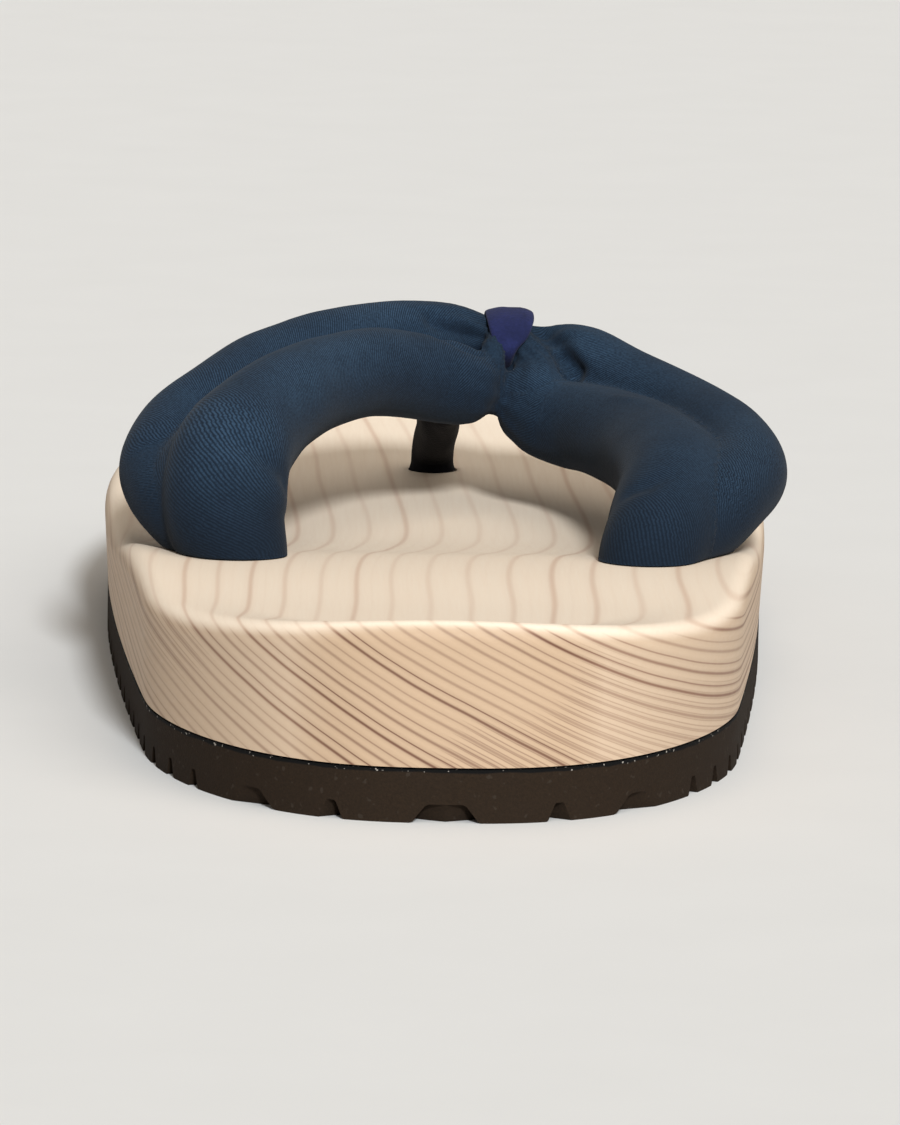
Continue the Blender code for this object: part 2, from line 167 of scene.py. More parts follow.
RIGHT_FAR = (
    (0.27, 0.71, 0.75, 0.50),
    (0.44, 0.72, 0.73, 0.58),
    (0.60, 0.71, 0.69, 0.77),
    (0.76, 0.69, 0.66, 0.85),
    (0.97, 0.63, 0.57, 0.88),
    (1.23, 0.53, 0.48, 0.90),
    (1.43, 0.38, 0.41, 0.91),
    (1.50, 0.25, 0.33, 0.90),
    (1.37, 0.13, 0.23, 0.88),
    (1.14, 0.03, 0.05, 0.82),
)
# The stuffing between a near and a far roll, where the two share one skin by the feet
LEFT_BETWEEN = (
    (-1.10, 0.02, 0.10, 0.85),
    (-1.17, 0.05, 0.27, 0.92),
    (-1.18, 0.08, 0.39, 0.88),
    (-1.10, 0.16, 0.52, 0.66),
)
RIGHT_BETWEEN = (
    (1.30, 0.22, 0.35, 0.45),
    (1.29, 0.16, 0.30, 0.62),
    (1.22, 0.10, 0.24, 0.76),
    (1.10, 0.03, 0.08, 0.84),
)
# The cloth that fans out from under the band, down to the near rolls
FAN_RIGHT = (
    (0.385, 0.68, 0.85, 0.26),
    (0.43, 0.67, 0.755, 0.47),
    (0.48, 0.66, 0.645, 0.65),
    (0.50, 0.63, 0.52, 0.80),
)
FAN_LEFT = (
    (0.29, 0.67, 0.83, 0.22),
    (0.285, 0.63, 0.745, 0.26),
    (0.27, 0.61, 0.62, 0.30),
    (0.265, 0.61, 0.50, 0.30),
)
CLOTH_VOXEL = 0.0006
SOFTEN_STEPS = 6
SOFTEN_SHARE = 0.5
PINCH_AT = (0.36, 0.69, 0.66)  # the middle of the pinch: across, along and up

# The stuffing's lumps, and small pleats that fade away from the pinch
LUMP_HEIGHT = 0.00022
LUMPS_PER_METRE = 90
PLEAT_HEIGHT = 0.00030
PLEAT_PITCH = 0.0042
PLEAT_WANDER = 2.0
PLEATS_REACH = 0.013

# Creases of the cloth, each along a line of two or three points: a trough's depth is below zero
# and a ridge's is above
FOLDS = (
    # depth and half width in metres, then points in the strap's shares: across, along, up
    (-0.0008, 0.0020, ((-0.74, 0.00, 0.40), (-0.86, -0.03, 0.52), (-0.98, -0.03, 0.60))),
    (-0.0006, 0.0018, ((0.92, 0.03, 0.33), (0.99, 0.02, 0.40), (1.05, 0.03, 0.46))),
    (0.0004, 0.0011, ((-1.18, 0.12, 0.70), (-0.98, 0.27, 0.86), (-0.66, 0.42, 0.92))),
    (0.0004, 0.0011, ((-0.66, 0.42, 0.92), (-0.33, 0.50, 0.93), (-0.06, 0.56, 0.84))),
    (-0.0014, 0.0018, ((-0.02, 0.64, 0.93), (0.08, 0.64, 0.88), (0.17, 0.66, 0.83))),
    (-0.0012, 0.0016, ((0.00, 0.58, 0.83), (0.10, 0.58, 0.80), (0.20, 0.60, 0.78))),
    (0.0006, 0.0020, ((0.02, 0.60, 0.88), (0.12, 0.61, 0.85), (0.22, 0.63, 0.82))),
    (-0.0022, 0.0017, ((0.53, 0.70, 0.87), (0.60, 0.67, 0.79), (0.68, 0.63, 0.66))),
    (-0.0012, 0.0012, ((0.36, 0.64, 0.74), (0.33, 0.62, 0.62), (0.31, 0.61, 0.50))),
    (-0.0006, 0.0014, ((0.45, 0.66, 0.80), (0.47, 0.62, 0.68), (0.46, 0.60, 0.56))),
    (-0.0005, 0.0016, ((-1.05, -0.06, 0.30), (-1.12, -0.05, 0.45), (-1.12, 0.00, 0.60))),
    (0.0004, 0.0011, ((0.75, 0.50, 0.66), (0.98, 0.40, 0.62), (1.16, 0.26, 0.56))),
)

# The thong: its band's closed path in the strap's shares, with shares of BAND_WIDTH, and its stem
BAND_WIDTH = 0.0080
BAND_THICKNESS = 0.0020
BAND_PLEAT = 0.00022
BAND_PLEATS = 2.5
BAND_PLEAT_PHASE = 0.8
BAND_PLEAT_INSIDE = 0.2  # the least share of a pleat on the band's inner side
BAND_FLATNESS = 0.8
BAND = (
    # across, along, up, width
    (0.36, 0.73, 0.93, 1.00),
    (0.365, 0.68, 0.91, 0.96),
    (0.36, 0.645, 0.84, 0.74),
    (0.35, 0.635, 0.765, 0.36),
    (0.345, 0.665, 0.66, 0.22),
    (0.34, 0.695, 0.56, 0.34),
    (0.34, 0.73, 0.54, 0.50),
    (0.34, 0.757, 0.62, 0.70),
    (0.35, 0.768, 0.74, 0.85),
    (0.355, 0.76, 0.86, 0.95),
)
STEM_START = (0.34, 0.71, 0.54)
STEM_BEND = 0.0035
STEM_KNEE_AT = 0.38
STEM_KNEE_OUT = 0.0012
STEM_FILL = 0.96
STEM_SPREAD = 0.12  # how much wider the cloth is where it enters the hole
STEM_SPREAD_BELOW = 0.0004
STEM_SPREAD_REACH = 0.0009
STEM_FOLDS = 5
STEM_FOLD_DEPTH = 0.035
STEM_TWIST = 0.0625  # radians from one station to the next

BACK = -LENGTH / 2
WIDEST_Y = BACK + WIDEST_AT
BASE_BOTTOM = SOLE_THICKNESS + GLUE_LINE
FRONT_HOLE = Vector((0, BACK + FRONT_HOLE_AT, 0))
REAR_HOLES = {
    "left": Vector((-REAR_HOLE_OUT, BACK + REAR_HOLE_AT, 0)),
    "right": Vector((REAR_HOLE_OUT, BACK + REAR_HOLE_AT, 0)),
}

# The ends of the middle line that the outline's rings shrink towards
SPINE_INSET = 0.8 * WIDTH / 2

# How finely the pieces are made
OUTLINE_SAMPLES = 6001
OUTLINE_POINTS = 360
UNDERSIDE_STEPS = 6
WALL_STEPS = 14
EDGE_STEPS = 8
BED_STEPS = 54
BED_SPACING = 0.8  # below 1, the footbed's rings lie closer together near its edge
ZIGZAG_POINTS = 6
TUBE_POINTS = 40
TUBE_STATIONS = 90
CAP_STEPS = 8
HOLE_SIDES = 64
BAND_STATIONS = 110
BAND_POINTS = 32
STEM_STATIONS = 70
STEM_POINTS = 36
KNOT_STATIONS = 160
KNOT_SIDES = 20
KNOT_TAPER = 8
POINTS_AT_ONCE = 4000
MERGE = 1e-6
SHARP = 40
BASE_SHARP = 50

# Grain and weave, in millimetres
PITH_X = 185.0
PITH_Z = 317.0
RING_PITCH = 3.1
RING_WANDER = 4.0
RING_TREMBLE = 0.30
TWILL_PITCH = 0.52
TWILL_SLANT = 0.8

# Heights above the ground between which a look changes
FOOT_SHADE = (0.026, 0.050)
STEM_SHADE = (0.0430, 0.0470)
GAP_SHADOW_BAND = (0.0009, 0.0006)  # painted shadow of the gap under the wood, this far below the top of the rubber
GAP_SHADOW_WANDER = 0.0006
PINCH_SHADE = (0.004, 0.015)  # away from the middle of the pinch

# Colours: red, green and blue, linear
WOOD_PALE = (0.86, 0.715, 0.56)
WOOD_BRIGHT = (0.925, 0.80, 0.65)
WOOD_FIBRE = (0.64, 0.44, 0.30)
# The darker end-grain colour, also painted as shade on the side walls and the rounded top edge
WOOD_END_AND_WALL_SHADE = (0.455, 0.305, 0.185)
LINE_ON_TOP = (0.52, 0.30, 0.195)
LINE_ON_WALL = (0.12, 0.046, 0.026)
RUBBER_DARK = (0.008, 0.005, 0.0028)
RUBBER_BROWN = (0.034, 0.0205, 0.0115)
RUBBER_PATCH = (0.020, 0.013, 0.0085)
RUBBER_DUST = (0.14, 0.12, 0.10)
# Painted shadow of the gap under the wood, and its painted glints
GAP_SHADOW_COLOUR = (0.004, 0.004, 0.004)
GAP_GLINT_COLOUR = (0.34, 0.31, 0.27)
INDIGO_DARK = (0.0050, 0.0092, 0.0165)
INDIGO_LIGHT = (0.017, 0.036, 0.067)
# The worn colour, also painted as light on upward faces
INDIGO_WORN_AND_LIT = (0.036, 0.071, 0.118)
VIOLET_DARK = (0.008, 0.011, 0.034)
VIOLET_LIGHT = (0.026, 0.032, 0.125)
# Painted shade on the stem where the strap shades it
STEM_PAINTED_SHADE = (0.003, 0.003, 0.005)
CORD_DARK = (0.008, 0.008, 0.012)
CORD_LIGHT = (0.05, 0.05, 0.06)
FLOOR_DARK = (0.735, 0.725, 0.705)
FLOOR_LIGHT = (0.765, 0.755, 0.735)
WARM_LIGHT = (1.0, 0.94, 0.86)
COOL_LIGHT = (0.90, 0.95, 1.0)

# The stage
FLOOR_REACH = 6.0
STUDIO_STRENGTH = 0.28
LIGHTS = (
    # name, where it comes from, strength, its width in degrees, colour
    ("key", (0.30, -1.70, 1.00), 3.35, 8, COOL_LIGHT),
    ("window", (0.55, -0.80, 1.20), 1.1, 60, WARM_LIGHT),
)

# The camera, fitted to the photograph
CAMERA_AT = Vector((-0.0205, -1.4060, 0.2507))
CAMERA_YAW = math.radians(1.94)
CAMERA_PITCH = math.radians(4.80)
CAMERA_ROLL = math.radians(-0.74)
PHOTO_FOCAL = 2850.0  # pixels of the photograph's 900 by 1125 frame
PHOTO_MIDDLE = (450.0, 562.5)
SHOE_MIDDLE = (588.0, 795.0)
CLOSER = 3.1  # the shoe fills more of the frame than in the photograph
FRAME_HEIGHT = 1125.0
SENSOR = 36.0
CLIP = (0.05, 50)


def smooth(table, at, column):
    """A table's column at places in its first column, on a smooth curve through its rows."""
    places = np.array([row[0] for row in table], float)
    values = np.array([row[column] for row in table], float)
    slopes = np.gradient(values, places)
    slopes[1:-1] = (values[2:] - values[:-2]) / (places[2:] - places[:-2])
    at = np.asarray(at, float)
    i = np.clip(np.searchsorted(places, at, side="right") - 1, 0, len(places) - 2)
    span = places[i + 1] - places[i]
    u = np.clip((at - places[i]) / span, 0, 1)
    return (
        values[i] * (2 * u**3 - 3 * u**2 + 1)
        + values[i + 1] * (3 * u**2 - 2 * u**3)
        + slopes[i] * span * (u**3 - 2 * u**2 + u)
        + slopes[i + 1] * span * (u**3 - u**2)
    )


def smooth_step(u):
    u = np.clip(u, 0, 1)
    return u * u * (3 - 2 * u)


def end_share(y):
    """How much of the outline's Lame sum the rounded ends take: 0 between them and 1 at each tip."""
    heel = np.maximum(1 - (y - BACK) / HEEL_ROUND, 0) ** HEEL_ALONG
    toe = np.maximum(1 - (-BACK - y) / TOE_ROUND, 0) ** TOE_ALONG
    return np.minimum(heel + toe, 1)


def strip_half_width(y):
    behind = np.maximum(WIDEST_Y - y, 0) / WIDEST_AT
    return WIDTH / 2 * (1 - HEEL_TAPER * behind**TAPER_POWER)


def outline_share(x, y):
    """0 on the middle line between the rounded ends, and 1 on the base's outline."""
    return (np.abs(x) / strip_half_width(y)) ** ROUND_ACROSS + end_share(y)


def toe_lift(y):
    past = y - (LENGTH / 2 - TOE_SPRING_LENGTH)
    return TOE_SPRING * (np.maximum(past, 0) / TOE_SPRING_LENGTH) ** 2


def underside(x, y):
    return BASE_BOTTOM + toe_lift(y)


def footbed(x, y):
    """The height of the base's carved top."""
    along = (y - BACK) / LENGTH
    rim = smooth_step((outline_share(x, y) - RIM_STARTS) / (1 - RIM_STARTS))
    heel = np.maximum(1 - (x / RIM_REACH) ** 2, 0) ** RIM_POWER
    rim = rim * (heel * smooth(FOOTBED, along, 2) + smooth(FOOTBED, along, 3))
    return underside(x, y) + BASE_THICKNESS * smooth(FOOTBED, along, 1) + RIM_RISE * rim


def outline():
    """Points of the plan outline at even steps, from the back of the heel and round by the right."""
    y = BACK * np.cos(np.linspace(0, math.pi, OUTLINE_SAMPLES))
    x = strip_half_width(y) * (1 - end_share(y)) ** (1 / ROUND_ACROSS)
    walked = np.concatenate([[0], np.cumsum(np.hypot(np.diff(x), np.diff(y)))])
    goals = np.linspace(0, walked[-1], OUTLINE_POINTS // 2 + 1)
    right = np.stack([np.interp(goals, walked, x), np.interp(goals, walked, y)], axis=1)
    left = right[-2:0:-1] * (-1, 1)
    return np.concatenate([right, left])


def ring_inside(points, inset, share, height):
    """The outline moved inwards by inset, then shrunk towards the middle line to a share."""
    centre = np.zeros_like(points)
    centre[:, 1] = np.clip(points[:, 1], BACK + SPINE_INSET, -BACK - SPINE_INSET)
    inwards = centre - points
    inwards /= np.linalg.norm(inwards, axis=1)[:, None]
    start = points + inwards * inset
    q = centre + (start - centre) * share
    return np.column_stack([q, height(q[:, 0], q[:, 1])])


def mesh_object(name, points, faces, look=None, merge=0.0, sharp=SHARP):
    mesh = bpy.data.meshes.new(name)
    mesh.from_pydata([tuple(p) for p in points], [], faces)
    build = bmesh.new()
    build.from_mesh(mesh)
    if merge:
        bmesh.ops.remove_doubles(build, verts=build.verts, dist=merge)
    bmesh.ops.recalc_face_normals(build, faces=build.faces)
    build.to_mesh(mesh)
    build.free()
    mesh.shade_smooth()
    mesh.set_sharp_from_angle(angle=math.radians(sharp))
    made = bpy.data.objects.new(name, mesh)
    bpy.context.scene.collection.objects.link(made)
    if look:
        mesh.materials.append(look)
    return made


def skin(rings, closed_path=False, caps=True):
    """Points and faces of the surface through rings of equally many points."""
    count = len(rings[0])
    points = [p for ring in rings for p in ring]
    faces = []
    pairs = len(rings) if closed_path else len(rings) - 1
    for i in range(pairs):
        low, high = i * count, (i + 1) % len(rings) * count
        for k in range(count):
            after = (k + 1) % count
            faces.append((low + k, low + after, high + after, high + k))
    if caps and not closed_path:
        faces.append(tuple(reversed(range(count))))
        faces.append(tuple(range((len(rings) - 1) * count, len(rings) * count)))
    return points, faces


def level_ring(centre, radius, height, sides, first=0.0):
    """A level ring of points, the first of them turned by a share of one side."""
    turns = 2 * math.pi * (np.arange(sides) + first) / sides
    x = centre.x + radius * np.cos(turns)
    y = centre.y + radius * np.sin(turns)
    return np.column_stack([x, y, np.full(sides, height)])


def turned(name, profile, centre):
    """A solid turned about a vertical axis from (radius, height) pairs."""
    rings = [level_ring(centre, radius, height, HOLE_SIDES, 0.5) for radius, height in profile]
    return mesh_object(name, *skin(rings))


def applied(piece):
    """The piece with its modifiers applied to a mesh of its own."""
    depsgraph = bpy.context.evaluated_depsgraph_get()
    mesh = bpy.data.meshes.new_from_object(piece.evaluated_get(depsgraph))
    piece.modifiers.clear()
    piece.data = mesh
    return piece


def cut(target, operation, tools):
    """Booleans applied in turn, with their tools removed."""
    for tool in tools:
        step = target.modifiers.new(tool.name, "BOOLEAN")
        step.operation = operation
        step.object = tool
    applied(target)
    for tool in tools:
        bpy.data.objects.remove(tool)
    return target


def hole_cutter(name, centre, radius, soft):
    """A recess from below and a hole above it, whose mouth is rounded by soft."""
    ceiling = underside(0, centre.y) + RECESS_DEPTH
    mouth = float(footbed(centre.x, centre.y))
    profile = (
        (RECESS_RADIUS, -TREAD_DEPTH),
        (RECESS_RADIUS, ceiling),
        (radius, ceiling),
        (radius, mouth - soft),
        (radius + 0.3 * soft, mouth - 0.3 * soft),
        (radius + soft, mouth + 0.2 * soft),
        (radius + 2 * soft, mouth + 3 * soft),
    )
    return turned(name, profile, centre)


def make_base(look):
    """The carved wooden base."""
    points = outline()
    shares = [k / UNDERSIDE_STEPS for k in range(UNDERSIDE_STEPS + 1)]
    rings = [ring_inside(points, WALL_LEAN, share, underside) for share in shares]
    for k in range(1, WALL_STEPS):
        up = k / WALL_STEPS

        def height(x, y):
            return underside(x, y) + up * (footbed(x, y) - EDGE_ROUND - underside(x, y))

        rings.append(ring_inside(points, WALL_LEAN * (1 - up), 1, height))
    for k in range(EDGE_STEPS + 1):
        turn = math.pi / 2 * k / EDGE_STEPS
        drop = EDGE_ROUND * (1 - math.sin(turn))
        inset = EDGE_ROUND * (1 - math.cos(turn))
        rings.append(ring_inside(points, inset, 1, lambda x, y: footbed(x, y) - drop))
    for k in range(BED_STEPS - 1, -1, -1):
        share = (k / BED_STEPS) ** BED_SPACING
        rings.append(ring_inside(points, EDGE_ROUND, share, footbed))
    base = mesh_object("base_wood", *skin(rings, caps=False), look, merge=MERGE, sharp=BASE_SHARP)
    cutters = [
        hole_cutter(f"rear_{side}", at, REAR_HOLE_RADIUS, REAR_HOLE_EDGE)
        for side, at in REAR_HOLES.items()
    ]
    snug = FRONT_HOLE_RADIUS - FRONT_HOLE_SNUG
    cutters.append(hole_cutter("front", FRONT_HOLE, snug, FRONT_HOLE_EDGE))
    cut(base, "DIFFERENCE", cutters)
    base.data.set_sharp_from_angle(angle=math.radians(BASE_SHARP))
    return base


def tread_points():
    """Rows of the tread from heel to toe: (place along, height), with rounded ribs and grooves."""
    grooves = math.ceil(LENGTH / 2 / TREAD_PITCH) + 1
    lines = []
    side = (GROOVE_MOUTH - GROOVE_FLOOR) / 2
    for k in range(-grooves, grooves):
        middle = (k + 0.5) * TREAD_PITCH
        for out, share in GROOVE_SIDE:
            lines.append((middle - GROOVE_FLOOR / 2 - out * side, share * TREAD_DEPTH))
        for out, share in reversed(GROOVE_SIDE):
            lines.append((middle + GROOVE_FLOOR / 2 + out * side, share * TREAD_DEPTH))
    return lines


def tread_block():
    """A slab over the sole's whole plan with rounded zigzag grooves across its underside."""
    columns = (math.ceil(WIDTH / 2 / ZIGZAG_STEP) + 1) * ZIGZAG_POINTS
    lines = tread_points()
    across = np.arange(-columns, columns + 1) / ZIGZAG_POINTS
    wave = np.abs((across + 1) % 2 - 1)
    soft = ZIGZAG_SOFTNESS
    wave = ZIGZAG_REACH * ((1 - soft) * wave + soft * smooth_step(wave))
    x = across * ZIGZAG_STEP
    width = len(x)
    points = []
    for line, height in lines:
        y = line + wave
        points.append(np.column_stack([x, y, height + toe_lift(y)]))
    top_rows = list(range(0, len(lines) - 1, 2 * len(GROOVE_SIDE))) + [len(lines) - 1]
    for row in top_rows:
        y = lines[row][0] + wave
        points.append(np.column_stack([x, y, SOLE_THICKNESS + toe_lift(y)]))
    top_start = len(lines) * width
    faces = []
    for j in range(len(lines) - 1):
        for i in range(width - 1):
            a = j * width + i
            faces.append((a, a + width, a + width + 1, a + 1))
    for j in range(len(top_rows) - 1):
        for i in range(width - 1):
            a = top_start + j * width + i
            faces.append((a, a + 1, a + width + 1, a + width))
    last_line = (len(lines) - 1) * width
    last_top = top_start + (len(top_rows) - 1) * width
    for i in range(width - 1):
        faces.append((i, i + 1, top_start + i + 1, top_start + i))
        faces.append((last_line + i, last_top + i, last_top + i + 1, last_line + i + 1))
    for i in (0, width - 1):
        below = [j * width + i for j in range(len(lines))]
        above = [top_start + j * width + i for j in range(len(top_rows))]
        faces.append(tuple(below + above[::-1]))
    return np.concatenate(points), faces


def make_outsole(look):
    """The rubber outsole with its zigzag tread."""
    sole = mesh_object("outsole_rubber", *tread_block(), look)
    reach = 2 * SOLE_THICKNESS + TOE_SPRING
    rings = [
        ring_inside(outline(), WALL_LEAN, 1, lambda x, y: np.full_like(x, z))
        for z in (-reach, reach)
    ]
    cut(sole, "INTERSECT", [mesh_object("sole_outline", *skin(rings))])
    radius = RECESS_RADIUS + ACCESS_CLEARANCE
    openings = [
        turned(f"access_{name}", ((radius, -reach), (radius, reach)), at)
        for name, at in {**REAR_HOLES, "front": FRONT_HOLE}.items()
    ]
    cut(sole, "DIFFERENCE", openings)
    sole.data.set_sharp_from_angle(angle=math.radians(SHARP))
    return sole


def strap_place(across, along, up):
    """A point from the strap's shares."""
    span = FRONT_HOLE_AT - REAR_HOLE_AT
    seat = float(footbed(0.0, BACK + REAR_HOLE_AT))
    return np.array(
        [across * REAR_HOLE_OUT, BACK + REAR_HOLE_AT + along * span, seat + up * STRAP_RISE]
    )


class Roll:
    """A stuffed roll of the strap: a tube on a smooth line through a table's rows."""

    def __init__(self, table, out):
        rows = [(i, *row) for i, row in enumerate(table)]
        at = np.linspace(0, len(table) - 1, TUBE_STATIONS)
        shares = [smooth(rows, at, column) for column in range(1, 5)]
        self.centres = np.array([strap_place(*p) for p in zip(*shares[:3])])
        self.radii = shares[3] * ROLL_RADIUS
        headings = np.gradient(self.centres, axis=0)
        self.headings = headings / np.linalg.norm(headings, axis=1)[:, None]
        steps = np.linalg.norm(np.diff(self.centres, axis=0), axis=1)
        self.walked = np.concatenate([[0], np.cumsum(steps)])
        sides = []
        for heading in self.headings:
            side = out - heading * np.dot(out, heading)
            sides.append(side / np.linalg.norm(side))
        self.sides = np.array(sides)
        self.ups = np.cross(self.headings, self.sides)

    def ways(self, i):
        """The directions from a station's centre to the points of its ring."""
        turns = 2 * math.pi * np.arange(TUBE_POINTS) / TUBE_POINTS
        return np.outer(np.cos(turns), self.sides[i]) + np.outer(np.sin(turns), self.ups[i])

    def cap(self, end, sign):
        """Rings of a round cap past an end, from the widest to the narrowest."""
        rings = []
        for k in range(1, CAP_STEPS):
            turn = math.pi / 2 * k / CAP_STEPS
            middle = self.centres[end] + sign * self.headings[end] * self.radii[end] * math.sin(turn)
            rings.append(middle + self.radii[end] * math.cos(turn) * self.ways(end))
        return rings

    def rings(self, cap_start, cap_end):
        """Rings of the tube, closed by a round cap where one is asked for."""
        tube = [centre + self.radii[i] * self.ways(i) for i, centre in enumerate(self.centres)]
        before = self.cap(0, -1)[::-1] if cap_start else []
        after = self.cap(-1, 1) if cap_end else []
        return before + tube + after


def cord_tube(centre):
    """The cord under a foot of the strap, down through its hole to the knot's lower face."""
    ceiling = float(underside(0, centre.y)) + RECESS_DEPTH
    low = ceiling - KNOT_GAP - KNOT_HEIGHT
    high = float(footbed(centre.x, centre.y)) + CORD_INTO_FOOT
    return [level_ring(centre, CORD_RADIUS, z, TUBE_POINTS) for z in (low, high)]


def cloth_coordinates(points, rolls):
    """Each point's length along its nearest roll, its way round and its share of the radius."""
    best = np.full(len(points), np.inf)
    found = np.zeros((len(points), 3))
    for roll in rolls:
        for start in range(0, len(points), POINTS_AT_ONCE):
            block = slice(start, start + POINTS_AT_ONCE)
            part = points[block]
            gap = np.linalg.norm(part[:, None, :] - roll.centres[None], axis=2)
            near = np.argmin(gap / roll.radii[None], axis=1)
            share = gap[np.arange(len(part)), near] / roll.radii[near]
            away = part - roll.centres[near]
            side = np.einsum("ij,ij->i", away, roll.sides[near])
            up = np.einsum("ij,ij->i", away, roll.ups[near])
            length = length_along(part, roll, near)
            place = np.column_stack([length, np.arctan2(up, side) * ROLL_RADIUS, share])
            better = share < best[block]
            found[block][better] = place[better]
            best[block][better] = share[better]
    return found


def length_along(points, roll, near):
    """The length along a roll to each point, evenly between the stations on either side of it."""

    def ahead(station):
        return np.einsum("ij,ij->i", points - roll.centres[station], roll.headings[station])

    first = np.clip(np.where(ahead(near) < 0, near - 1, near), 0, len(roll.centres) - 2)
    before, after = ahead(first), ahead(first + 1)
    between = before - after
    share = np.clip(before / np.where(np.abs(between) < 1e-9, 1e-9, between), 0, 1)
    inside = roll.walked[first] + share * (roll.walked[first + 1] - roll.walked[first])
    return inside + np.where(before < 0, before, 0) + np.where(after > 0, after, 0)


def make_strap(look):
    """The padded strap: stuffed rolls in pairs, gathered under the thong's band."""
    heel = (0.0, -1.0, 0.0)
    parts = (
        # table, the way out of its side, a cap at its start, a cap at its end
        (LEFT_NEAR, (0.3, -1.0, 0.2), False, True),
        (LEFT_FAR, (-0.3, 0.6, 0.6), True, True),
        (RIGHT_NEAR, (-0.3, -1.0, 0.2), True, False),
        (RIGHT_FAR, (0.3, 0.6, 0.6), True, True),
        (LEFT_BETWEEN, heel, True, True),
        (RIGHT_BETWEEN, heel, True, True),
        (FAN_RIGHT, heel, True, True),
        (FAN_LEFT, heel, True, True),
    )
    rolls = [Roll(table, np.array(out)) for table, out, _, _ in parts]
    points, faces = [], []
    tubes = [roll.rings(start, end) for roll, (_, _, start, end) in zip(rolls, parts)]
    tubes += [cord_tube(at) for at in REAR_HOLES.values()]
    for rings in tubes:
        made_points, made_faces = skin([list(map(tuple, ring)) for ring in rings])
        shift = len(points)
        points += made_points
        faces += [tuple(i + shift for i in face) for face in made_faces]
    strap = mesh_object("strap_cloth", points, faces)
    remesh = strap.modifiers.new("one skin", "REMESH")
    remesh.mode = "VOXEL"
    remesh.voxel_size = CLOTH_VOXEL
    remesh.use_smooth_shade = True
    soften = strap.modifiers.new("soften", "CORRECTIVE_SMOOTH")
    soften.iterations = SOFTEN_STEPS
    soften.use_only_smooth = True
    soften.factor = SOFTEN_SHARE
    applied(strap)
    place_cloth(strap, rolls)
    strap.data.materials.append(look)
    strap.data.shade_smooth()
    return strap


def place_cloth(strap, rolls):
    """Sets the cloth down on the wood, adds soft folds and stores the cloth's own coordinates."""
    count = len(strap.data.vertices)
    points = np.empty(count * 3)
    strap.data.vertices.foreach_get("co", points)
    points = points.reshape(-1, 3)
    normals = np.empty(count * 3)
    strap.data.vertices.foreach_get("normal", normals)
    normals = normals.reshape(-1, 3)
    place = cloth_coordinates(points, rolls)
    points += normals * cloth_relief(points, place)[:, None]
    floor = footbed(points[:, 0], points[:, 1]) + SEAT_GAP / 2
    in_hole = np.zeros(count, bool)
    for at in REAR_HOLES.values():
        in_hole |= np.hypot(points[:, 0] - at.x, points[:, 1] - at.y) < CORD_RADIUS + SEAT_GAP
    points[:, 2] = np.where(in_hole, points[:, 2], np.maximum(points[:, 2], floor))
    strap.data.vertices.foreach_set("co", points.ravel())
    stored = strap.data.attributes.new("cloth_place", "FLOAT_VECTOR", "POINT")
    stored.data.foreach_set("vector", place.ravel())
    strap.data.update()


def cloth_relief(points, place):
    """How far the cloth stands out at each point: lumps of the stuffing, and folds at the pinch."""
    pinch = strap_place(*PINCH_AT)
    away = np.linalg.norm(points - pinch, axis=1)
    near_pinch = np.exp(-((away / PLEATS_REACH) ** 2))
    lumps = np.array([noise.noise(Vector(p) * LUMPS_PER_METRE) for p in points])
    pleats = np.sin(place[:, 1] * 2 * math.pi / PLEAT_PITCH + PLEAT_WANDER * lumps)
    relief = LUMP_HEIGHT * lumps + PLEAT_HEIGHT * near_pinch * pleats
    for depth, half_width, line in FOLDS:
        line = [strap_place(*place_on) for place_on in line]
        off = np.min([off_segment(points, a, b) for a, b in zip(line, line[1:])], axis=0)
        relief += depth * np.exp(-((off / half_width) ** 2))
    return relief


def off_segment(points, start, end):
    """Each point's distance from the straight line between start and end."""
    way = end - start
    share = np.clip((points - start) @ way / (way @ way), 0, 1)
    return np.linalg.norm(points - start - share[:, None] * way, axis=1)


def band_rings():
    """Rings of the thong's band, wide over the strap and drawn in where it dives."""
    closed = BAND[-2:] + BAND + BAND[:3]
    rows = [(i - 2, *row) for i, row in enumerate(closed)]
    at = np.arange(BAND_STATIONS) * len(BAND) / BAND_STATIONS
    across, along, up, width = (smooth(rows, at, column) for column in (1, 2, 3, 4))
    centres = np.array([strap_place(*place) for place in zip(across, along, up)])
    headings = np.roll(centres, -1, axis=0) - np.roll(centres, 1, axis=0)
    side = Vector((1, 0, 0))
    rings = []
    for centre, heading, half in zip(centres, headings, width * BAND_WIDTH / 2):
        heading = Vector(heading).normalized()
        out = side.cross(heading).normalized()
        ring = []
        for k in range(BAND_POINTS):
            angle = 2 * math.pi * k / BAND_POINTS
            flat = math.copysign(abs(math.cos(angle)) ** BAND_FLATNESS, math.cos(angle))
            pleat = BAND_PLEAT * math.sin(BAND_PLEATS * math.pi * flat + BAND_PLEAT_PHASE)
            outside = max(math.sin(angle), BAND_PLEAT_INSIDE)
            rise = BAND_THICKNESS / 2 * math.sin(angle) + pleat * outside
            ring.append(Vector(centre) + out * rise + side * (half * flat))
        rings.append(ring)
    return rings


